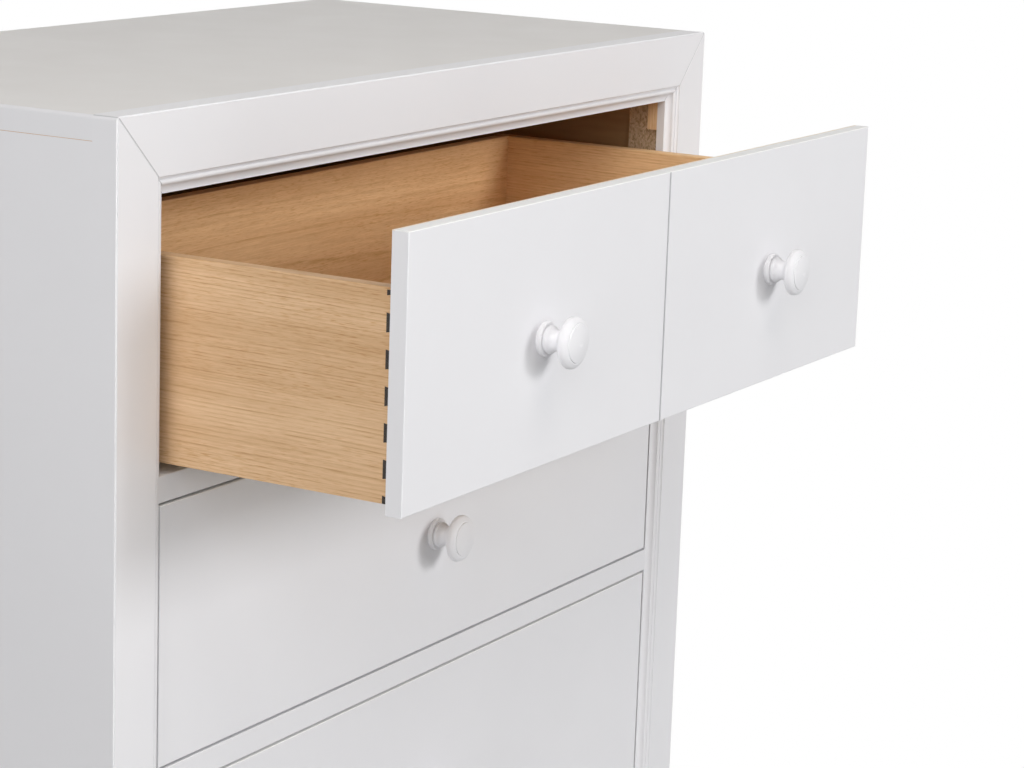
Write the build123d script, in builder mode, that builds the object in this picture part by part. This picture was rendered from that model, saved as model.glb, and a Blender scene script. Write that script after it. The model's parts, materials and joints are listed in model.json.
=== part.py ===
"""Tall chest of drawers: a mitred frame front, five inset drawers on wooden runners, a plinth.

Millimetres, +Z up. The chest faces -Y. The origin is on the floor, at the middle of the back.
The top drawer stands pulled out, and the other drawers are shut.
"""

import os
from math import radians, sqrt, tan

from build123d import *

# Overall sizes
depth = 412.0
opening_width = 736.0
drawer_count = 5
plinth_height = 62.0

# Mitred front frame: flat fascia, then a bead and a cove down to a thin lip around the opening
fascia_width = 44.5
moulding_width = 13.5
frame_thickness = 21.0
lip_front = 7.5
lip_back = 14.7
rebate_width = 14.0
frame_ease = 1.0
frame_corner = 3.0
mitre_ease = 0.35
bead_width = 4.6
bead_set_back = 3.2
bead_crown = 1.3
quirk_round = 2.2
cove_step = 1.0
cove_sag = 1.5

# Carcass boards
panel_thickness = 16.0
top_thickness = 18.0
back_thickness = 6.0
back_inset = 4.0
block_width = 12.0
block_depth = 10.5
block_drop = 27.0
plinth_thickness = 18.0
plinth_inset_side = 12.0
plinth_inset_front = 14.0
glue_gap = 0.1
board_ease = 1.0
nail_radius = 0.8
nail_head_radius = 2.4
nail_head_height = 0.7
nail_bite = 14.0
nail_columns = 5
nail_edge_margin = 40.0

# Rails between the drawers, and the runners behind them
rail_height = 19.5
rail_depth = 42.4
rail_ease = 0.8
runner_thickness = 18.0
runner_overlap = 1.5
guide_width = 24.0
guide_height = 14.0
stop_length = 20.0
stop_height = 18.0
running_gap = 0.3
guide_gap = 0.7

# Drawers
front_height = 192.0
front_thickness = 13.0
front_gap = 2.0
top_clearance = 2.0
front_set_back = 7.6
front_ease = 0.8
groove_width = 2.6
groove_depth = 2.8
box_inset = 8.7
box_lift = 5.9
box_height = 146.5
box_rear_gap = 36.4
side_thickness = 12.0
inner_front_thickness = 10.0
drawer_back_thickness = 12.0
bottom_thickness = 5.0
bottom_lift = 8.0
bottom_groove = 5.0
pin_pitch = 24.8
pin_height = 13.4
pin_depth = 7.0
pin_slope = 10.0
pin_top_margin = 1.7
photo_pull = 198.0

# Knobs and their screws
knob_head_radius = 18.8
knob_face_radius = 14.0
knob_neck_radius = 7.4
knob_base_radius = 12.2
knob_base_thickness = 4.2
knob_collar_radius = 9.8
knob_collar_height = 3.0
knob_neck_height = 12.6
knob_back_radius = 13.5
knob_back_height = 19.0
knob_widest = 22.8
knob_rim_rise = 4.6
knob_shoulder = 1.2
knob_step = 0.9
knob_step_slope = 0.3
knob_dome = 1.9
knob_drop = 3.0
screw_radius = 2.0
screw_head_radius = 4.4
screw_head_height = 2.6
screw_bite = 14.0
screw_tip_gap = 1.0
screw_slot_width = 1.0
screw_slot_depth = 1.2
hole_clearance = 0.1

# Sizes that follow from the ones above
member_width = fascia_width + moulding_width
frame_width = opening_width + 2 * member_width
bay_height = front_height + 2 * front_gap
bay_pitch = bay_height + rail_height
opening_height = drawer_count * bay_height + (drawer_count - 1) * rail_height + top_clearance
frame_height = opening_height + 2 * member_width
chest_height = plinth_height + frame_height
opening_top = chest_height - member_width
opening_bottom = plinth_height + member_width
half_opening = opening_width / 2
half_width = frame_width / 2
inside_half = half_width - panel_thickness
rebate_wall = half_width - member_width + rebate_width
face_y = -depth
frame_back_y = face_y + frame_thickness
lip_back_y = face_y + lip_back
drawer_face_y = face_y + front_set_back
rail_back_y = drawer_face_y + rail_depth
back_face_y = -back_inset - back_thickness
box_half = half_opening - box_inset
box_front_y = drawer_face_y + front_thickness
box_back_y = back_face_y - box_rear_gap
underside_z = chest_height - top_thickness
hole_radius = screw_radius + hole_clearance
floor_top = plinth_height + panel_thickness

os.makedirs("parts", exist_ok=True)


def save(piece, name):
    """Label a finished piece and write it as its own file."""
    piece.part.label = name
    export_step(piece.part, f"parts/{name}.step")


def block(x, y, z, mode=Mode.ADD):
    """One rectangular solid between two limits on each axis, in the part being built."""
    with BuildSketch(Plane.XY.offset(z[0])) as outline:
        with Locations(((x[0] + x[1]) / 2, (y[0] + y[1]) / 2)):
            Rectangle(x[1] - x[0], y[1] - y[0])
    extrude(outline.sketch, amount=z[1] - z[0], mode=mode)


def both_sides(x, y, z):
    """The same rectangular solid on the right and, mirrored, on the left."""
    block(x, y, z)
    block((-x[1], -x[0]), y, z)


def bay_floor(number):
    """Height of the bottom of a drawer's bay, counted from the top of the chest."""
    return opening_top - top_clearance - bay_height - (number - 1) * bay_pitch


def box_floor(number):
    """Height of the bottom edge of a drawer's sides."""
    return bay_floor(number) + front_gap + box_lift


# Front frame: one section run along each side of the opening, cut to mitres
def frame_section():
    """Section of a frame member: local x runs inwards from its outer edge, local y runs back."""
    bead_start = member_width - moulding_width + quirk_round
    bead_end = bead_start + bead_width
    bead_mid = (bead_start + bead_end) / 2
    cove_front = bead_set_back + cove_step
    cove_mid = ((bead_end + member_width) / 2, (cove_front + lip_front) / 2 + cove_sag)
    with BuildLine() as outline:
        Line((0, frame_thickness), (0, frame_ease))
        RadiusArc((0, frame_ease), (frame_ease, 0), frame_ease)
        Line((frame_ease, 0), (fascia_width, 0))
        RadiusArc((fascia_width, 0), (bead_start, quirk_round), quirk_round)
        Line((bead_start, quirk_round), (bead_start, bead_set_back))
        ThreePointArc(
            (bead_start, bead_set_back),
            (bead_mid, bead_set_back - bead_crown),
            (bead_end, bead_set_back),
        )
        Line((bead_end, bead_set_back), (bead_end, cove_front))
        ThreePointArc((bead_end, cove_front), cove_mid, (member_width, lip_front))
        Line((member_width, lip_front), (member_width, lip_back))
        Line((member_width, lip_back), (member_width - rebate_width, lip_back))
        Line((member_width - rebate_width, lip_back), (member_width - rebate_width, frame_thickness))
        Line((member_width - rebate_width, frame_thickness), (0, frame_thickness))
    make_face(outline.edges())


def corner_waste():
    """What rounding takes off an outer corner of the frame: both local axes run into the frame."""
    inset = frame_corner * (1 - sqrt(0.5))
    with BuildLine() as outline:
        ThreePointArc((frame_corner, 0), (inset, inset), (0, frame_corner))
        Polyline(
            (0, frame_corner),
            (-frame_corner, frame_corner),
            (-frame_corner, -frame_corner),
            (frame_corner, -frame_corner),
            (frame_corner, 0),
        )
    make_face(outline.edges())


half_frame = frame_height / 2
frame_centre = Vector(0, face_y, plinth_height + half_frame)
frame_sides = {
    "frame_top_rail": (0, 1),
    "frame_bottom_rail": (0, -1),
    "frame_left_stile": (-1, 0),
    "frame_right_stile": (1, 0),
}

for name, (side_x, side_z) in frame_sides.items():
    inwards = Vector(-side_x, 0, -side_z)
    backwards = Vector(0, 1, 0)
    along = inwards.cross(backwards)
    outer_middle = frame_centre - inwards * (half_width if side_x else half_frame)
    half_length = half_frame if side_x else half_width
    with BuildPart() as member:
        with BuildSketch(Plane(outer_middle, x_dir=inwards, z_dir=along)):
            frame_section()
        extrude(amount=half_length + member_width, both=True)
        for end in (-1, 1):
            corner = outer_middle + along * (end * half_length)
            towards_middle = -along * end
            split(bisect_by=Plane(corner, z_dir=towards_middle - inwards), keep=Keep.TOP)
            with BuildSketch(Plane(corner, x_dir=towards_middle, z_dir=towards_middle.cross(inwards))):
                corner_waste()
            extrude(amount=frame_thickness, dir=backwards, mode=Mode.SUBTRACT)
        fascia = member.faces().sort_by(Axis.Y)[0]
        mitre_edges = fascia.edges().filter_by(Axis(frame_centre, along), reverse=True)
        chamfer(mitre_edges, mitre_ease)
    save(member, name)

# Places of the wooden runners, of the guides that keep the drawers square, and of their stops
runner_x = (box_half - side_thickness - runner_overlap, inside_half)
guide_x = (box_half + guide_gap, box_half + guide_gap + guide_width)
stop_x = (box_half - side_thickness, box_half)
runner_y = (rail_back_y, back_face_y)
stop_y = (box_back_y + running_gap, box_back_y + running_gap + stop_length)
runner_tops = [box_floor(number) - running_gap for number in range(1, drawer_count + 1)]

# Nails through the back panel, into the bottom panel's edge and the ends of the runners.
# On their plane, local x is -X and local y is +Z.
back_plane = Plane((0, -back_inset, 0), x_dir=(-1, 0, 0), z_dir=(0, 1, 0))
nail_reach = inside_half - nail_edge_margin
nail_step = 2 * nail_reach / (nail_columns - 1)
nail_places = []
for column in range(nail_columns):
    nail_places.append((column * nail_step - nail_reach, plinth_height + panel_thickness / 2))
for top in runner_tops:
    for side in (-1, 1):
        nail_places.append((side * sum(runner_x) / 2, top - runner_thickness / 2))


def nail_rods(clearance, mode):
    """The nails' shanks, wider by a clearance where they are holes in a board."""
    with BuildSketch(back_plane) as shanks:
        with Locations(*nail_places):
            Circle(nail_radius + clearance)
    extrude(shanks.sketch, amount=-(back_thickness + nail_bite + clearance), mode=mode)


# Carcass panels
with BuildPart() as top_panel:
    block((-half_width, half_width), (frame_back_y, 0), (underside_z, chest_height))
    side_edges = top_panel.edges().filter_by(Axis.Y).group_by(Axis.Z)[-1]
    fillet(side_edges, frame_corner)
    rear_edge = top_panel.edges().filter_by(Axis.X).group_by(Axis.Z)[-1].sort_by(Axis.Y)[-1]
    fillet(rear_edge, board_ease)
save(top_panel, "top_panel")

with BuildPart() as left_side_panel:
    block((-half_width, -inside_half), (frame_back_y, 0), (plinth_height, underside_z))
    rear_edges = left_side_panel.edges().filter_by(Axis.Z).group_by(Axis.Y)[-1]
    fillet(rear_edges.sort_by(Axis.X)[0], board_ease)
save(left_side_panel, "left_side_panel")

with BuildPart() as right_side_panel:
    block((inside_half, half_width), (frame_back_y, 0), (plinth_height, underside_z))
    rear_edges = right_side_panel.edges().filter_by(Axis.Z).group_by(Axis.Y)[-1]
    fillet(rear_edges.sort_by(Axis.X)[-1], board_ease)
save(right_side_panel, "right_side_panel")

with BuildPart() as back_panel:
    block((-inside_half, inside_half), (back_face_y, -back_inset), (plinth_height, underside_z))
    nail_rods(hole_clearance, Mode.SUBTRACT)
save(back_panel, "back_panel")

with BuildPart() as bottom_panel:
    block((-inside_half, inside_half), (frame_back_y, back_face_y), (plinth_height, floor_top))
    nail_rods(hole_clearance, Mode.SUBTRACT)
save(bottom_panel, "bottom_panel")

with BuildPart() as back_nails:
    nail_rods(0, Mode.ADD)
    with BuildSketch(back_plane) as heads:
        with Locations(*nail_places):
            Circle(nail_head_radius)
    extrude(heads.sketch, amount=nail_head_height)
save(back_nails, "back_nails")

# Chipboard cleats behind the stiles, and corner blocks behind the mitres
with BuildPart() as stile_cleats:
    both_sides((rebate_wall, inside_half), (frame_back_y, rail_back_y), (floor_top, underside_z))
save(stile_cleats, "stile_cleats")

block_x = (rebate_wall - block_width, rebate_wall)
block_y = (lip_back_y, lip_back_y + block_depth)
with BuildPart() as corner_blocks:
    both_sides(block_x, block_y, (opening_top - block_drop, opening_top + rebate_width))
    both_sides(block_x, block_y, (opening_bottom - rebate_width, opening_bottom + block_drop))
save(corner_blocks, "corner_blocks")

# Rails between the drawers: the ends are notched to pass behind the frame's lip
for number in range(1, drawer_count):
    rail_top = bay_floor(number)
    with BuildPart() as drawer_rail:
        block(
            (-half_opening, half_opening),
            (drawer_face_y, rail_back_y),
            (rail_top - rail_height, rail_top),
        )
        front_edges = drawer_rail.edges().filter_by(Axis.X).group_by(Axis.Y)[0]
        fillet(front_edges, rail_ease)
        block(
            (-rebate_wall, rebate_wall),
            (frame_back_y, rail_back_y),
            (rail_top - rail_height, rail_top),
        )
    save(drawer_rail, f"drawer_rail_{number}")

# Runners, guides and stops
with BuildPart() as drawer_runners:
    for top in runner_tops:
        both_sides(runner_x, runner_y, (top - runner_thickness, top))
    nail_rods(hole_clearance, Mode.SUBTRACT)
save(drawer_runners, "drawer_runners")

with BuildPart() as drawer_guides:
    for top in runner_tops:
        both_sides(guide_x, runner_y, (top, top + guide_height))
save(drawer_guides, "drawer_guides")

with BuildPart() as drawer_stops:
    for top in runner_tops:
        both_sides(stop_x, stop_y, (top, top + stop_height))
save(drawer_stops, "drawer_stops")

# Plinth: four boards butted at the corners
plinth_half = half_width - plinth_inset_side
plinth_front_y = face_y + plinth_inset_front
with BuildPart() as plinth_boards:
    block(
        (-plinth_half, plinth_half),
        (plinth_front_y, plinth_front_y + plinth_thickness),
        (0, plinth_height),
    )
    fillet(plinth_boards.edges().filter_by(Axis.Z).group_by(Axis.Y)[0], board_ease)
    both_sides(
        (plinth_half - plinth_thickness, plinth_half),
        (plinth_front_y + plinth_thickness + glue_gap, -plinth_thickness - glue_gap),
        (0, plinth_height),
    )
    block((-plinth_half, plinth_half), (-plinth_thickness, 0), (0, plinth_height))
save(plinth_boards, "plinth_boards")


# Drawers
def pin_outlines(floor):
    """Dovetail pins along the front end of a drawer side, seen from +X: local x is +Y, local y is +Z."""
    flare = pin_depth * tan(radians(pin_slope))
    middle = floor + box_height / 2
    reach = int(box_height / 2 / pin_pitch) + 1
    for step in range(-reach, reach + 1):
        centre = middle + step * pin_pitch
        with BuildLine() as outline:
            Polyline(
                (0, centre - pin_height / 2 + flare),
                (pin_depth, centre - pin_height / 2),
                (pin_depth, centre + pin_height / 2),
                (0, centre + pin_height / 2 - flare),
                close=True,
            )
        make_face(outline.edges())
    clip_height = box_height - pin_top_margin
    with Locations((pin_depth / 2, floor + clip_height / 2)):
        Rectangle(pin_depth, clip_height, mode=Mode.INTERSECT)


def pins(side_x, box_y, floor, mode):
    """The pins' solids through one drawer side: side_x is -1 on the left and 1 on the right."""
    inner_face = side_x * (box_half - side_thickness)
    with BuildSketch(Plane((inner_face, box_y, 0), x_dir=(0, 1, 0), z_dir=(1, 0, 0))) as outline:
        pin_outlines(floor)
    extrude(outline.sketch, amount=side_x * side_thickness, mode=mode)


def knob_outline():
    """Half section of a turned knob: local x is the radius, local y runs out from the drawer front."""
    collar_y = knob_base_thickness + knob_collar_height
    rim = (knob_face_radius + knob_shoulder, knob_widest + knob_rim_rise)
    step_foot = (knob_face_radius, rim[1])
    face_edge = (knob_face_radius - knob_step_slope, rim[1] + knob_step)
    crown = (0, face_edge[1] + knob_dome)
    back = (knob_back_radius, knob_back_height)
    with BuildLine() as outline:
        Polyline((hole_radius, screw_bite), (hole_radius, 0), (knob_base_radius, 0))
        RadiusArc((knob_base_radius, 0), (knob_base_radius, knob_base_thickness), -knob_base_thickness)
        Line((knob_base_radius, knob_base_thickness), (knob_collar_radius, knob_base_thickness))
        RadiusArc(
            (knob_collar_radius, knob_base_thickness),
            (knob_collar_radius, collar_y),
            -knob_collar_height,
        )
        Spline(
            (knob_collar_radius, collar_y),
            (knob_neck_radius, knob_neck_height),
            back,
            tangents=[(-1, 1), (2, 1)],
        )
        Spline(back, (knob_head_radius, knob_widest), tangents=[(2, 1), (0, 1)])
        Spline((knob_head_radius, knob_widest), rim, tangents=[(0, 1), (-2, 1)])
        Polyline(rim, step_foot, face_edge)
        TangentArc(crown, face_edge, tangent=(1, 0))
        Polyline(crown, (0, screw_bite), (hole_radius, screw_bite))
    make_face(outline.edges())


def knob_plane(x, y, z):
    """Plane of a knob's half section, with its local y along the knob's axis."""
    return Plane((x, y, z), x_dir=(1, 0, 0), z_dir=(0, 0, -1))


def make_drawer(number, knob_places, split_front):
    """One drawer: applied front, dovetailed box, bottom, knobs and their screws."""
    pull = photo_pull if number == 1 else 0.0
    face = drawer_face_y - pull
    box_front = box_front_y - pull
    box_back = box_back_y - pull
    floor = box_floor(number)
    front_floor = bay_floor(number) + front_gap
    front_half = half_opening - front_gap
    knob_z = front_floor + front_height / 2 - knob_drop
    bottom_z = (floor + bottom_lift, floor + bottom_lift + bottom_thickness)
    inside = box_half - side_thickness
    inner_face = box_front + inner_front_thickness
    bottom_x = (-inside - bottom_groove, inside + bottom_groove)
    bottom_y = (inner_face - bottom_groove, box_back)
    stem = f"drawer_{number}"

    def knob_holes():
        """Clearance holes for the knob screws, through everything built so far."""
        with BuildSketch(Plane((0, face, knob_z), x_dir=(1, 0, 0), z_dir=(0, -1, 0))) as holes:
            with Locations(*[(x, 0) for x in knob_places]):
                Circle(hole_radius)
        extrude(holes.sketch, amount=-(front_thickness + inner_front_thickness), mode=Mode.SUBTRACT)

    with BuildPart() as front:
        block((-front_half, front_half), (face, box_front), (front_floor, front_floor + front_height))
        fillet(front.faces().sort_by(Axis.Y)[0].edges(), front_ease)
        if split_front:
            with BuildSketch(Plane.XY.offset(front_floor)):
                with BuildLine():
                    Polyline(
                        (-groove_width / 2, face),
                        (0, face + groove_depth),
                        (groove_width / 2, face),
                        close=True,
                    )
                make_face()
            extrude(amount=front_height, mode=Mode.SUBTRACT)
        knob_holes()
    save(front, f"{stem}_front")

    with BuildPart() as inner_front:
        block((-inside, inside), (box_front, inner_face), (floor, floor + box_height))
        top_edges = inner_front.edges().filter_by(Axis.X).group_by(Axis.Z)[-1]
        fillet(top_edges.sort_by(Axis.Y)[-1], board_ease)
        block((-inside, inside), (inner_face - bottom_groove, inner_face), bottom_z, Mode.SUBTRACT)
        pins(-1, box_front, floor, Mode.ADD)
        pins(1, box_front, floor, Mode.ADD)
        knob_holes()
    save(inner_front, f"{stem}_inner_front")

    for side_name, side_x in (("left", -1), ("right", 1)):
        side_limits = sorted((side_x * inside, side_x * box_half))
        with BuildPart() as side:
            block(side_limits, (box_front, box_back), (floor, floor + box_height))
            fillet(side.edges().filter_by(Axis.Y).group_by(Axis.Z)[-1], board_ease)
            block(bottom_x, bottom_y, bottom_z, Mode.SUBTRACT)
            pins(side_x, box_front, floor, Mode.SUBTRACT)
        save(side, f"{stem}_{side_name}_side")

    with BuildPart() as back:
        block(
            (-inside, inside),
            (box_back - drawer_back_thickness, box_back),
            (bottom_z[1], floor + box_height),
        )
        fillet(back.edges().filter_by(Axis.X).group_by(Axis.Z)[-1], board_ease)
    save(back, f"{stem}_back")

    with BuildPart() as bottom:
        block(bottom_x, bottom_y, bottom_z)
        pins(-1, box_front, floor, Mode.SUBTRACT)
        pins(1, box_front, floor, Mode.SUBTRACT)
    save(bottom, f"{stem}_bottom")

    with BuildPart() as knobs:
        for x in knob_places:
            with BuildSketch(knob_plane(x, face, knob_z)):
                knob_outline()
            revolve(axis=Axis((x, face, knob_z), (0, -1, 0)))
    save(knobs, f"{stem}_knobs" if len(knob_places) > 1 else f"{stem}_knob")

    screw_tip = inner_front_thickness + front_thickness + screw_bite - screw_tip_gap
    slot_y = (inner_face + screw_head_height - screw_slot_depth, inner_face + screw_head_height)
    slot_z = (knob_z - screw_slot_width / 2, knob_z + screw_slot_width / 2)
    with BuildPart() as screws:
        for x in knob_places:
            with BuildSketch(knob_plane(x, inner_face, knob_z)):
                with BuildLine():
                    Polyline(
                        (0, -screw_head_height),
                        (screw_head_radius, -screw_head_height),
                        (screw_head_radius, 0),
                        (screw_radius, 0),
                        (screw_radius, screw_tip),
                        (0, screw_tip),
                        close=True,
                    )
                make_face()
            revolve(axis=Axis((x, inner_face, knob_z), (0, -1, 0)))
            block((x - screw_head_radius, x + screw_head_radius), slot_y, slot_z, Mode.SUBTRACT)
    save(screws, f"{stem}_knob_screws" if len(knob_places) > 1 else f"{stem}_knob_screw")


for number in range(1, drawer_count + 1):
    wide_knobs = (-opening_width / 4, opening_width / 4)
    make_drawer(number, wide_knobs if number == 1 else (0.0,), split_front=number == 1)
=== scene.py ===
import json
from math import cos, pi, radians, sin

import bpy
from mathutils import Matrix, Vector


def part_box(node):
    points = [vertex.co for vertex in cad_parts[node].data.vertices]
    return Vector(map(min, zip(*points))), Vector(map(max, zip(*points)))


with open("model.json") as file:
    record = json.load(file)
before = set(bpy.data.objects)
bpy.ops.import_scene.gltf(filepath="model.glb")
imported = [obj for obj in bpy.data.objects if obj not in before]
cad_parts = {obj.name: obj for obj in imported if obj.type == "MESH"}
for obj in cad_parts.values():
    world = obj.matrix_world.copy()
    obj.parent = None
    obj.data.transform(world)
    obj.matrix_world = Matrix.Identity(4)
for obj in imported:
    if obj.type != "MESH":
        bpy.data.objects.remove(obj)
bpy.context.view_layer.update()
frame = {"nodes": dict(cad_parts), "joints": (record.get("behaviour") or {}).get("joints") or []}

# Metres, in the chest's own frame: +Z up, the front faces -Y, the floor is at Z = 0.
nodes = frame["nodes"]
bpy.ops.object.select_all(action="DESELECT")

drawer_count = len(frame["joints"])
top_low, top_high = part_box("top_panel")
panel_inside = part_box("back_panel")[1].x
drawer_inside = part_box("drawer_1_back")[1].x
frame_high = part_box("frame_top_rail")[1]
frame_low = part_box("frame_bottom_rail")[0]
face_of_frame = frame_low.y
chest_middle = (face_of_frame + top_high.y) / 2

# Paint: linear colours, and shine as the shader's specular level
white = (1.0, 1.0, 1.0, 1.0)
paint_light = (0.808, 0.803, 0.824, 1.0)
paint_deep = (0.786, 0.781, 0.802, 1.0)
# Painted light on the drawer fronts' top edges, and a painted cream reflection of the bare wood at their rear
top_edge_painted_light = (0.900, 0.895, 0.890, 1.0)
cream_painted_bounce = (0.900, 0.800, 0.680, 1.0)
paint_shine = 0.4
knob_shine = 0.08
top_shine = 0.1

# Painted shade on the case's top face and in the split drawer front's groove, and dust in the mitres, as
# tints that multiply the paint
top_face_painted_shade = (0.975, 0.958, 0.915, 1.0)
groove_painted_shade = (0.65, 0.65, 0.66, 1.0)
mitre_dust = 0.62

# Boards, each with a pale and a tan tone
oak = ((0.750, 0.520, 0.322, 1.0), (0.510, 0.298, 0.140, 1.0))
# A paler, warmer copy of the oak, with painted bounce light, for the drawers' right sides and backs
oak_painted_bounce = ((0.930, 0.635, 0.360, 1.0), (0.720, 0.425, 0.200, 1.0))
birch = ((0.820, 0.650, 0.450, 1.0), (0.740, 0.540, 0.340, 1.0))
pine = ((0.890, 0.650, 0.410, 1.0), (0.770, 0.500, 0.260, 1.0))
# Near-black pins: painted shade of the dovetail sockets
pin_painted_shade = (0.030, 0.024, 0.022, 1.0)
pin_painted_shade_light = (0.055, 0.044, 0.038, 1.0)
lacquer_shine = 0.2
bare_wood_shine = 0.25

# Grain, as tints that multiply a board's tones
fibre_brown = (0.872, 0.820, 0.752, 1.0)
fibre_pale = (1.065, 1.070, 1.076, 1.0)
pore_brown = (0.83, 0.72, 0.58, 1.0)
patch_deep = (0.960, 0.935, 0.905, 1.0)
patch_pale = (1.030, 1.040, 1.050, 1.0)

# How a board is sawn: where the tree's middle lies from the board's middle, in metres, how the tree leans
# along the board, in degrees, and its growth rings in a metre
quarter_sawn = {"depth": 0.09, "height": 0.42, "taper": 0.0, "drift": 0.8, "rings": 390.0}
flat_sawn = {"depth": 0.035, "height": 0.03, "taper": 2.6, "drift": 1.0, "rings": 170.0}
ring_sway = 0.016
ring_unevenness = 5.0

# Turns that lay a board's grain along X, by the axis that it lies along in the chest
grain_turns = {"X": (0.0, 0.0, 0.0), "Y": (0.0, 0.0, radians(-90)), "Z": (0.0, radians(90), 0.0)}

# Steps in the pattern from one seed to the next, the seeds set aside for each kind of board in the drawers'
# boxes, and the first seed for pine
board_step = (1.7, 2.3, 3.1)
ring_step = 3.7
seed_run = 6
first_pine_seed = 3

# Inside of the case
bare_brown = (0.640, 0.375, 0.165, 1.0)
bare_brown_dark = (0.510, 0.285, 0.118, 1.0)
bare_roughness = 0.62
hardboard_brown = (0.450, 0.265, 0.125, 1.0)
hardboard_dark = (0.360, 0.205, 0.092, 1.0)
hardboard_shine = 0.3
chip_dark = (0.400, 0.270, 0.150, 1.0)
chip_middle = (0.560, 0.390, 0.240, 1.0)
chip_light = (0.700, 0.520, 0.345, 1.0)
chipboard_shine = 0.2
zinc_light = (0.620, 0.610, 0.580, 1.0)
zinc_dark = (0.450, 0.440, 0.420, 1.0)
zinc_shine = 0.5

# How far a finish, painted shade and painted light reach from a face, a groove or an edge
face_margin = 0.0003
pin_margin = 0.0001
groove_face = 0.004
groove_reach = 0.002
mitre_reach = 0.001
top_edge_reach = 0.0006
cream_reach = 0.0022

# Studio
floor_size = 12.0
floor_fade = 3.0
floor_pale = (0.820, 0.820, 0.815, 1.0)
floor_bounce = (0.520, 0.520, 0.515, 1.0)
world_light = 0.08
lamp_aim_height = 1.05
plain_white = (1.0, 1.0, 1.0)
cool_white = (0.96, 0.98, 1.0)
warm_white = (1.0, 0.96, 0.90)

# Most of a noise's values lie between these two.
noise_low = 0.3
noise_high = 0.7

# Places of the colour sockets on a Mix node
mix_first, mix_second, mix_result = 6, 7, 2


def mid_tone(first, second):
    """The colour halfway between two."""
    return tuple((a + b) / 2 for a, b in zip(first, second))


def grey(value):
    """A number as a colour."""
    return (value, value, value, 1.0)


# Small helpers for node trees
def start_material(name):
    """A material with one plain shader: returns the material, its tree and the shader."""
    material = bpy.data.materials.new(name)
    material.use_nodes = True
    tree = material.node_tree
    tree.nodes.clear()
    output = tree.nodes.new("ShaderNodeOutputMaterial")
    shader = tree.nodes.new("ShaderNodeBsdfPrincipled")
    tree.links.new(shader.outputs["BSDF"], output.inputs["Surface"])
    return material, tree, shader


def fill(tree, socket, value):
    """Give a socket a plain value, or link another socket to it."""
    if isinstance(value, bpy.types.NodeSocket):
        tree.links.new(value, socket)
    else:
        socket.default_value = value


def compute(tree, operation, first, second=0.0, third=0.0):
    """One step of arithmetic on numbers."""
    made = tree.nodes.new("ShaderNodeMath")
    made.operation = operation
    for socket, value in zip(made.inputs, (first, second, third)):
        fill(tree, socket, value)
    return made.outputs["Value"]


def compute_vector(tree, operation, first, second=(0.0, 0.0, 0.0)):
    """One step of arithmetic on vectors, which gives a number for a length and a vector for the rest."""
    made = tree.nodes.new("ShaderNodeVectorMath")
    made.operation = operation
    fill(tree, made.inputs[0], first)
    fill(tree, made.inputs[1], second)
    return made.outputs["Value" if operation == "LENGTH" else "Vector"]


def part_place(tree):
    """Object coordinates, which are metres in the chest's frame."""
    return tree.nodes.new("ShaderNodeTexCoord").outputs["Object"]


def stretched_place(tree, factors):
    """Object coordinates, stretched on each axis."""
    return compute_vector(tree, "MULTIPLY", part_place(tree), factors)


def axis_value(tree, axis):
    """One Object coordinate."""
    parts = tree.nodes.new("ShaderNodeSeparateXYZ")
    fill(tree, parts.inputs["Vector"], part_place(tree))
    return parts.outputs[axis]


def off_middle(tree, axis):
    """One Object coordinate's size, without its sign."""
    return compute(tree, "ABSOLUTE", axis_value(tree, axis))


def noise(tree, vector, scale, detail=2.0, roughness=0.5):
    """Noise between 0 and 1."""
    made = tree.nodes.new("ShaderNodeTexNoise")
    fill(tree, made.inputs["Vector"], vector)
    made.inputs["Scale"].default_value = scale
    made.inputs["Detail"].default_value = detail
    made.inputs["Roughness"].default_value = roughness
    return made.outputs["Fac"]


def grain_noise(tree, vector, stretch, scale, detail, roughness=0.5):
    """Noise drawn out along a board's grain, which lies along X."""
    along = compute_vector(tree, "MULTIPLY", vector, (stretch, 1.0, 1.0))
    return noise(tree, along, scale, detail, roughness)


def line_noise(tree, place, scale, seed):
    """Noise along a single number, between 0 and 1."""
    made = tree.nodes.new("ShaderNodeTexNoise")
    made.noise_dimensions = "1D"
    fill(tree, made.inputs["W"], compute(tree, "ADD", place, seed * ring_step))
    made.inputs["Scale"].default_value = scale
    made.inputs["Detail"].default_value = 1.0
    return made.outputs["Fac"]


def ramp(tree, factor, stops):
    """Colours, or greys where a stop is one number, along a factor."""
    made = tree.nodes.new("ShaderNodeValToRGB")
    fill(tree, made.inputs["Fac"], factor)
    elements = made.color_ramp.elements
    while len(elements) < len(stops):
        elements.new(0.5)
    for element, (place, colour) in zip(elements, stops):
        element.position = place
        element.color = colour if isinstance(colour, tuple) else grey(colour)
    return made.outputs["Color"]


def fade(tree, factor, first, second, start=noise_low, end=noise_high):
    """One colour or grey up to a start, another from an end, and a fade between them."""
    return ramp(tree, factor, ((start, first), (end, second)))


def mix(tree, factor, first, second, blend="MIX"):
    """Two colours mixed by a factor."""
    made = tree.nodes.new("ShaderNodeMix")
    made.data_type = "RGBA"
    made.blend_type = blend
    fill(tree, made.inputs["Factor"], factor)
    fill(tree, made.inputs[mix_first], first)
    fill(tree, made.inputs[mix_second], second)
    return made.outputs[mix_result]


def tint(tree, colour, tone, amount=1.0):
    """A colour multiplied by a tone."""
    return mix(tree, amount, colour, tone, "MULTIPLY")


def bump(tree, height, distance, normal=None):
    """A bump of that height in metres, on top of another normal."""
    made = tree.nodes.new("ShaderNodeBump")
    made.inputs["Distance"].default_value = distance
    fill(tree, made.inputs["Height"], height)
    if normal is not None:
        fill(tree, made.inputs["Normal"], normal)
    return made.outputs["Normal"]


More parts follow.
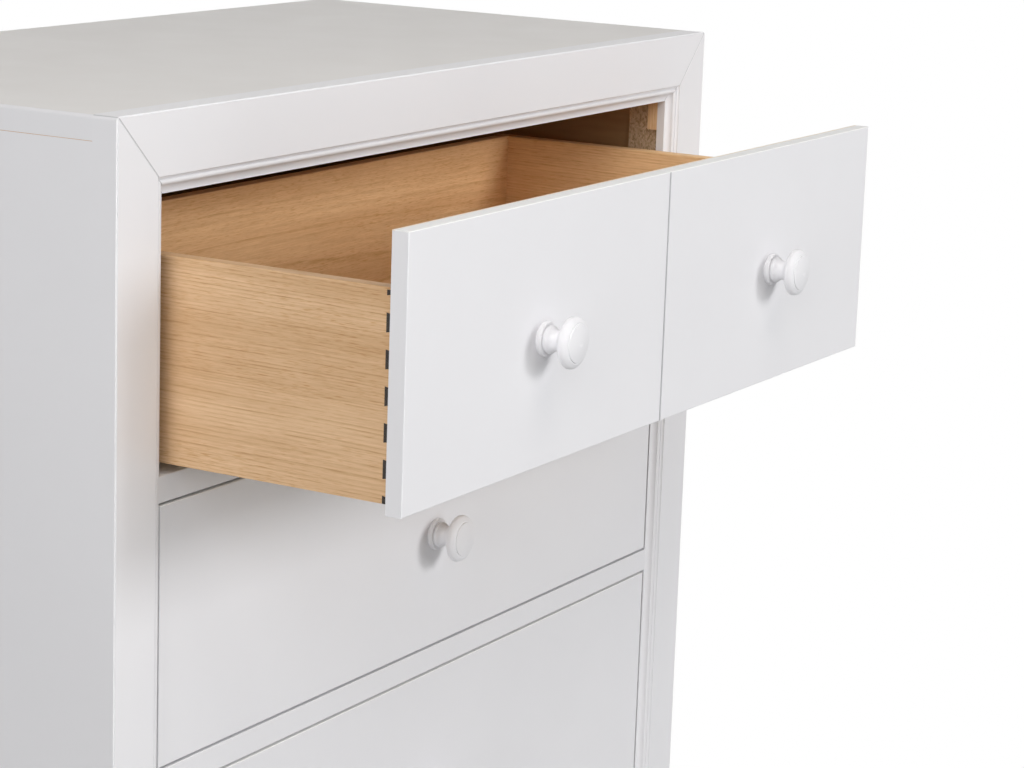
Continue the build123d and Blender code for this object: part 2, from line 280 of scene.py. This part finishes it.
def coat(tree, shader, colour, roughness, normal, shine):
    """Give a shader its finish."""
    fill(tree, shader.inputs["Base Color"], colour)
    fill(tree, shader.inputs["Roughness"], roughness)
    fill(tree, shader.inputs["Normal"], normal)
    shader.inputs["Specular IOR Level"].default_value = shine


# Layers that several finishes share
def paint_layer(tree):
    """Sprayed satin paint: its colour, roughness and normal."""
    place = part_place(tree)
    clouds = noise(tree, place, scale=5.0, detail=3.0)
    sheen_patches = noise(tree, place, scale=22.0, detail=4.0)
    peel = noise(tree, place, scale=520.0, detail=2.0)
    waves = noise(tree, place, scale=36.0, detail=1.0)
    colour = fade(tree, clouds, paint_deep, paint_light)
    roughness = fade(tree, sheen_patches, 0.36, 0.46)
    normal = bump(tree, peel, distance=0.000035)
    return colour, roughness, bump(tree, waves, distance=0.00010, normal=normal)


def brown_layer(tree):
    """The unpainted inside of the case: a stained board with soft streaks."""
    place = stretched_place(tree, (1.0, 0.1, 1.0))
    streaks = noise(tree, place, scale=60.0, detail=4.0, roughness=0.6)
    return fade(tree, streaks, bare_brown_dark, bare_brown)


def board_place(tree, centre, grain):
    """Object coordinates from a board's middle, turned so that its grain lies along X."""
    turned = tree.nodes.new("ShaderNodeMapping")
    turned.inputs["Rotation"].default_value = grain_turns[grain]
    fill(tree, turned.inputs["Vector"], compute_vector(tree, "SUBTRACT", part_place(tree), centre))
    return turned.outputs["Vector"]


def ring_count(tree, along, own, seed, cut):
    """How many growth rings lie between the tree's middle and a point of the board."""
    leaning = tree.nodes.new("ShaderNodeMapping")
    leaning.inputs["Location"].default_value = (0.0, cut["depth"], cut["height"])
    leaning.inputs["Rotation"].default_value = (0.0, radians(cut["drift"]), radians(cut["taper"]))
    fill(tree, leaning.inputs["Vector"], along)
    across = compute_vector(tree, "MULTIPLY", leaning.outputs["Vector"], (0.0, 1.0, 1.0))
    sway = grain_noise(tree, own, stretch=0.22, scale=7.0, detail=3.0)
    reach = compute(tree, "MULTIPLY_ADD", sway, ring_sway, compute_vector(tree, "LENGTH", across))
    uneven = line_noise(tree, reach, scale=22.0, seed=seed)
    even_rings = compute(tree, "MULTIPLY", reach, cut["rings"])
    return compute(tree, "MULTIPLY_ADD", uneven, ring_unevenness, even_rings)


def ring_lines(tree, along, own, seed, cut):
    """How dark the growth rings are: each fades in and ends sharply, and some are stronger than others."""
    rings = ring_count(tree, along, own, seed, cut)
    late_wood = ((0.0, 0.0), (0.50, 0.0), (0.90, 1.0), (0.98, 0.6))
    late = ramp(tree, compute(tree, "FRACT", rings), late_wood)
    ring_tones = line_noise(tree, compute(tree, "FLOOR", rings), scale=0.73, seed=seed)
    strength = fade(tree, ring_tones, 0.18, 0.95, start=0.32, end=0.68)
    gaps = grain_noise(tree, own, stretch=0.11, scale=420.0, detail=2.0)
    breaks = fade(tree, gaps, 0.25, 1.0, start=0.36, end=0.62)
    return compute(tree, "MULTIPLY", compute(tree, "MULTIPLY", late, strength), breaks)


def board_layer(tree, node, grain, seed, tones, cut):
    """The colour and normal of a sawn board: growth rings, fibres, pores and patches along its grain."""
    low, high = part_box(node)
    pale, tan = tones
    along = board_place(tree, (low + high) / 2, grain)
    own = compute_vector(tree, "ADD", along, tuple(seed * step for step in board_step))
    bands = grain_noise(tree, own, stretch=0.05, scale=40.0, detail=3.0)
    fibres = grain_noise(tree, own, stretch=0.038, scale=900.0, detail=4.0, roughness=0.70)
    dashes = grain_noise(tree, own, stretch=0.065, scale=1700.0, detail=1.0)
    crowds = grain_noise(tree, own, stretch=0.12, scale=34.0, detail=2.0)
    patches = grain_noise(tree, own, stretch=0.35, scale=16.0, detail=2.0)

    colour = fade(tree, bands, mid_tone(pale, tan), pale, start=0.28, end=0.60)
    colour = mix(tree, ring_lines(tree, along, own, seed, cut), colour, tan)
    colour = tint(tree, colour, fade(tree, fibres, fibre_brown, fibre_pale, start=0.28, end=0.72))
    pores = fade(tree, dashes, white, pore_brown, start=0.55, end=0.71)
    crowded = fade(tree, crowds, 0.35, 1.0, start=0.36, end=0.62)
    colour = tint(tree, colour, pores, crowded)
    colour = tint(tree, colour, fade(tree, patches, patch_deep, patch_pale))
    normal = bump(tree, fibres, distance=0.00005)
    return colour, bump(tree, pores, distance=0.00008, normal=normal)


# Finishes
def satin_paint(name, shine):
    """White paint all over a board or a knob."""
    material, tree, shader = start_material(name)
    colour, roughness, normal = paint_layer(tree)
    coat(tree, shader, colour, roughness, normal, shine)
    return material


def frame_paint():
    """White paint on the front frame, with a fine dusty line where its corners are mitred."""
    material, tree, shader = start_material("frame_paint")
    colour, roughness, normal = paint_layer(tree)
    height = axis_value(tree, "Z")
    from_side = compute(tree, "SUBTRACT", off_middle(tree, "X"), frame_high.x)
    from_top = compute(tree, "SUBTRACT", height, frame_high.z)
    from_foot = compute(tree, "SUBTRACT", height, frame_low.z)
    top_mitre = compute(tree, "ABSOLUTE", compute(tree, "SUBTRACT", from_side, from_top))
    low_mitre = compute(tree, "ABSOLUTE", compute(tree, "ADD", from_side, from_foot))
    apart = compute(tree, "DIVIDE", compute(tree, "MINIMUM", top_mitre, low_mitre), mitre_reach)
    dust_and_shade = fade(tree, apart, mitre_dust, 1.0, start=0.30, end=0.75)
    coat(tree, shader, tint(tree, colour, dust_and_shade), roughness, normal, paint_shine)
    return material


def drawer_front_paint(node, split):
    """White paint on a drawer's front, with painted light on its top edge and a painted cream reflection of
    the bare wood at the rear of that edge; a split front also gets painted shade in its groove.
    """
    low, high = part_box(node)
    material, tree, shader = start_material(f"paint_{node}")
    colour, roughness, normal = paint_layer(tree)
    if split:
        apart = compute(tree, "DIVIDE", off_middle(tree, "X"), groove_reach)
        # Painted shade in the split's groove: the face darkens towards the groove's middle
        dust_and_shade = fade(tree, apart, groove_painted_shade, white, start=0.38, end=0.82)
        face = compute(tree, "LESS_THAN", axis_value(tree, "Y"), low.y + groove_face)
        colour = mix(tree, face, colour, tint(tree, colour, dust_and_shade))
    # Painted light on the top edge, and a painted cream reflection of the bare wood at its rear
    rear = compute(tree, "GREATER_THAN", axis_value(tree, "Y"), high.y - cream_reach)
    top = compute(tree, "GREATER_THAN", axis_value(tree, "Z"), high.z - top_edge_reach)
    colour = mix(tree, top, colour, mix(tree, rear, top_edge_painted_light, cream_painted_bounce))
    coat(tree, shader, colour, roughness, normal, paint_shine)
    return material


def bare_inside(tree, shader, axis, edge, paint, shine):
    """White paint where a coordinate's size passes an edge, and bare brown board on the other side."""
    colour, roughness, normal = paint
    painted = compute(tree, "GREATER_THAN", off_middle(tree, axis), edge)
    colour = mix(tree, painted, brown_layer(tree), colour)
    roughness = mix(tree, painted, grey(bare_roughness), roughness)
    coat(tree, shader, colour, roughness, normal, shine)


def side_panel_paint():
    """A side of the case: painted outside, bare inside."""
    material, tree, shader = start_material("side_panel_paint")
    bare_inside(tree, shader, "X", panel_inside + face_margin, paint_layer(tree), paint_shine)
    return material


def top_panel_paint():
    """The top of the case: painted outside, with painted shade on its upper face, bare underneath."""
    material, tree, shader = start_material("top_panel_paint")
    colour, roughness, normal = paint_layer(tree)
    upper = compute(tree, "GREATER_THAN", axis_value(tree, "Z"), top_high.z - face_margin)
    # Painted shade: the upper face is tinted a darker, warmer white than the paint elsewhere
    colour = mix(tree, upper, colour, tint(tree, colour, top_face_painted_shade))
    bare_inside(tree, shader, "Z", top_low.z + face_margin, (colour, roughness, normal), top_shine)
    return material


def box_board(node, grain, seed, tones, cut):
    """Clear-finished board of a drawer's box."""
    material, tree, shader = start_material(f"board_{node}")
    colour, normal = board_layer(tree, node, grain, seed, tones, cut)
    gloss = noise(tree, part_place(tree), scale=30.0, detail=3.0)
    coat(tree, shader, colour, fade(tree, gloss, 0.46, 0.58), normal, lacquer_shine)
    return material


def dovetail_board(node, seed):
    """A drawer's inner front: pale inside the box, and near-black pins where it passes through the sides,
    painted as the shade in the dovetail sockets.
    """
    material, tree, shader = start_material(f"dovetail_{node}")
    colour, normal = board_layer(tree, node, "X", seed, oak, quarter_sawn)
    speckle = noise(tree, part_place(tree), scale=900.0, detail=2.0)
    # Painted shade: the pins are near-black, as the shadowed dovetail sockets
    socket_shade = fade(tree, speckle, pin_painted_shade, pin_painted_shade_light)
    is_pin = compute(tree, "GREATER_THAN", off_middle(tree, "X"), drawer_inside + pin_margin)
    colour = mix(tree, is_pin, colour, socket_shade)
    coat(tree, shader, colour, fade(tree, speckle, 0.50, 0.62), normal, bare_wood_shine)
    return material


def pine_board(node, grain, seed):
    """Bare softwood strip."""
    material, tree, shader = start_material(f"pine_{node}")
    colour, normal = board_layer(tree, node, grain, seed, pine, quarter_sawn)
    dryness = noise(tree, part_place(tree), scale=60.0, detail=3.0)
    coat(tree, shader, colour, fade(tree, dryness, 0.68, 0.82), normal, bare_wood_shine)
    return material


def chipboard():
    """Raw chipboard: pressed flakes of several tones."""
    material, tree, shader = start_material("chipboard")
    flakes = tree.nodes.new("ShaderNodeTexVoronoi")
    fill(tree, flakes.inputs["Vector"], stretched_place(tree, (1.0, 1.0, 0.6)))
    flakes.inputs["Scale"].default_value = 800.0
    parts = tree.nodes.new("ShaderNodeSeparateColor")
    fill(tree, parts.inputs["Color"], flakes.outputs["Color"])
    tone = parts.outputs["Red"]
    flake_tones = ((0.0, chip_dark), (0.35, chip_middle), (0.8, chip_light), (1.0, chip_middle))
    dust_and_shade = noise(tree, part_place(tree), scale=1400.0, detail=2.0)
    colour = tint(tree, ramp(tree, tone, flake_tones), fade(tree, dust_and_shade, 0.75, 1.15), amount=0.6)
    normal = bump(tree, tone, distance=0.0002)
    coat(tree, shader, colour, fade(tree, dust_and_shade, 0.78, 0.92), normal, chipboard_shine)
    return material


def hardboard():
    """Pressed fibre board: brown, with short hairs of fibre."""
    material, tree, shader = start_material("hardboard")
    hairs = noise(tree, stretched_place(tree, (1.0, 1.0, 0.25)), scale=700.0, detail=4.0, roughness=0.65)
    clouds = noise(tree, part_place(tree), scale=9.0, detail=4.0)
    tone = mix(tree, 0.5, fade(tree, hairs, 0.0, 1.0), clouds)
    colour = fade(tree, tone, hardboard_dark, hardboard_brown, start=0.25, end=0.75)
    normal = bump(tree, hairs, distance=0.00008)
    coat(tree, shader, colour, fade(tree, hairs, 0.48, 0.64), normal, hardboard_shine)
    return material


def zinc():
    """Zinc plated steel with a dull crystal bloom."""
    material, tree, shader = start_material("zinc")
    bloom = noise(tree, part_place(tree), scale=1600.0, detail=3.0)
    colour = fade(tree, bloom, zinc_dark, zinc_light)
    normal = bump(tree, bloom, distance=0.00003)
    coat(tree, shader, colour, fade(tree, bloom, 0.30, 0.45), normal, zinc_shine)
    shader.inputs["Metallic"].default_value = 1.0
    return material


def dress(node, material):
    """Give a CAD node one finish."""
    slots = nodes[node].data.materials
    slots.clear()
    slots.append(material)


# Painted outside
rail_paint = satin_paint("rail_paint", paint_shine)
knob_paint = satin_paint("knob_paint", knob_shine)
for node in nodes:
    if node.startswith(("drawer_rail_", "plinth_")):
        dress(node, rail_paint)
    elif node.endswith(("_knob", "_knobs")):
        dress(node, knob_paint)

frame_finish = frame_paint()
for side in ("top_rail", "bottom_rail", "left_stile", "right_stile"):
    dress(f"frame_{side}", frame_finish)

side_finish = side_panel_paint()
dress("left_side_panel", side_finish)
dress("right_side_panel", side_finish)
dress("top_panel", top_panel_paint())

# Case inside
raw_chipboard = chipboard()
dress("stile_cleats", raw_chipboard)
dress("bottom_panel", raw_chipboard)
dress("back_panel", hardboard())
pine_strips = {"corner_blocks": "Z", "drawer_runners": "Y", "drawer_guides": "Y", "drawer_stops": "Y"}
for seed, (node, grain) in enumerate(pine_strips.items(), start=first_pine_seed):
    dress(node, pine_board(node, grain, seed))

# Nails and screws
zinc_finish = zinc()
for node in nodes:
    if node == "back_nails" or node.endswith(("_knob_screw", "_knob_screws")):
        dress(node, zinc_finish)

# Drawers
box_boards = (
    ("left_side", "Y", oak, quarter_sawn),
    # Right sides and backs take the oak copy with painted bounce light
    ("right_side", "Y", oak_painted_bounce, quarter_sawn),
    ("back", "X", oak_painted_bounce, flat_sawn),
    ("bottom", "X", birch, flat_sawn),
)
for number in range(1, drawer_count + 1):
    front = f"drawer_{number}_front"
    dress(front, drawer_front_paint(front, split=number == 1))
    seed = number
    for end, grain, tones, cut in box_boards:
        board = f"drawer_{number}_{end}"
        dress(board, box_board(board, grain, seed, tones, cut))
        seed += seed_run
    inner_front = f"drawer_{number}_inner_front"
    dress(inner_front, dovetail_board(inner_front, seed))


# Stage
def backdrop_rays(tree, rays):
    """1 for the rays that see the backdrop as plain white, straight, in a gloss or through glass."""
    seen = compute(tree, "MAXIMUM", rays.outputs["Is Camera Ray"], rays.outputs["Is Glossy Ray"])
    return compute(tree, "MAXIMUM", seen, rays.outputs["Is Transmission Ray"])


def studio_floor():
    """A pale floor that fades to plain white away from the chest."""
    bpy.ops.mesh.primitive_plane_add(size=floor_size, location=(0.0, chest_middle, 0.0))
    floor = bpy.context.object
    floor.name = "floor"
    material = bpy.data.materials.new("studio_floor")
    material.use_nodes = True
    tree = material.node_tree
    tree.nodes.clear()
    rays = tree.nodes.new("ShaderNodeLightPath")
    surface = tree.nodes.new("ShaderNodeBsdfDiffuse")
    floor_colour = mix(tree, rays.outputs["Is Camera Ray"], floor_bounce, floor_pale)
    fill(tree, surface.inputs["Color"], floor_colour)
    glow = tree.nodes.new("ShaderNodeEmission")
    glow.inputs["Color"].default_value = white
    glow.inputs["Strength"].default_value = 1.0
    reach = compute(tree, "DIVIDE", compute_vector(tree, "LENGTH", part_place(tree)), floor_fade)
    away = fade(tree, reach, 0.0, 1.0, start=0.26, end=0.60)
    blend = tree.nodes.new("ShaderNodeMixShader")
    fill(tree, blend.inputs["Fac"], compute(tree, "MULTIPLY", backdrop_rays(tree, rays), away))
    fill(tree, blend.inputs[1], surface.outputs["BSDF"])
    fill(tree, blend.inputs[2], glow.outputs["Emission"])
    output = tree.nodes.new("ShaderNodeOutputMaterial")
    fill(tree, output.inputs["Surface"], blend.outputs["Shader"])
    floor.data.materials.append(material)


def studio_world(strength):
    """Even grey light from all round, seen as white."""
    world = bpy.data.worlds.new("studio")
    bpy.context.scene.world = world
    world.use_nodes = True
    tree = world.node_tree
    tree.nodes.clear()
    rays = tree.nodes.new("ShaderNodeLightPath")
    backdrop = tree.nodes.new("ShaderNodeBackground")
    backdrop.inputs["Color"].default_value = white
    light = compute(tree, "MULTIPLY_ADD", backdrop_rays(tree, rays), 1.0 - strength, strength)
    fill(tree, backdrop.inputs["Strength"], light)
    output = tree.nodes.new("ShaderNodeOutputWorld")
    fill(tree, output.inputs["Surface"], backdrop.outputs["Background"])


def softbox(name, azimuth, elevation, distance, size, light, colour=plain_white):
    """A square lamp aimed at the open drawer, set by how bright it makes a white sheet that faces it."""
    turn, rise = radians(azimuth), radians(elevation)
    aim = Vector((0.0, face_of_frame, lamp_aim_height))
    away = Vector((sin(turn) * cos(rise), -cos(turn) * cos(rise), sin(rise)))
    bpy.ops.object.light_add(type="AREA", location=aim + away * distance)
    lamp = bpy.context.object
    lamp.name = name
    lamp.data.size = size
    lamp.data.energy = light * (pi * distance) ** 2
    lamp.data.color = colour
    lamp.visible_camera = False
    lamp.rotation_euler = away.to_track_quat("Z", "Y").to_euler()
    return lamp


def photo_camera():
    """The photo's view: a long lens, from the left of the front and above the top."""
    image_width = 1024
    focal_pixels = 2941.83
    film_width = 36.0
    place = Vector((-1.95400, -1.60392, 1.48711))
    heading = radians(59.8904)
    dip = radians(12.3062)
    roll = radians(2.0)
    bpy.ops.object.camera_add()
    camera = bpy.context.object
    camera.data.sensor_width = film_width
    camera.data.lens = film_width * focal_pixels / image_width
    turn = Matrix.Rotation(-heading, 4, "Z") @ Matrix.Rotation(radians(90) - dip, 4, "X")
    camera.matrix_world = Matrix.Translation(place) @ turn @ Matrix.Rotation(roll, 4, "Z")
    bpy.context.scene.camera = camera


studio_floor()
studio_world(world_light)
softbox("key_softbox", azimuth=18.0, elevation=19.0, distance=8.0, size=2.2, light=0.35)
softbox("front_softbox", azimuth=6.0, elevation=10.0, distance=8.0, size=3.0, light=0.20, colour=cool_white)
softbox("high_softbox", azimuth=-25.0, elevation=62.0, distance=2.8, size=1.6, light=0.295, colour=warm_white)
softbox("fill_softbox", azimuth=-64.0, elevation=26.0, distance=2.6, size=1.4, light=0.34)
softbox("low_left_softbox", azimuth=-84.0, elevation=4.0, distance=8.0, size=3.2, light=0.27)
back_softbox = softbox("back_softbox", azimuth=128.0, elevation=4.0, distance=4.0, size=2.2, light=0.50)
back_softbox.visible_glossy = False
photo_camera()
bpy.context.scene.view_settings.view_transform = "Standard"
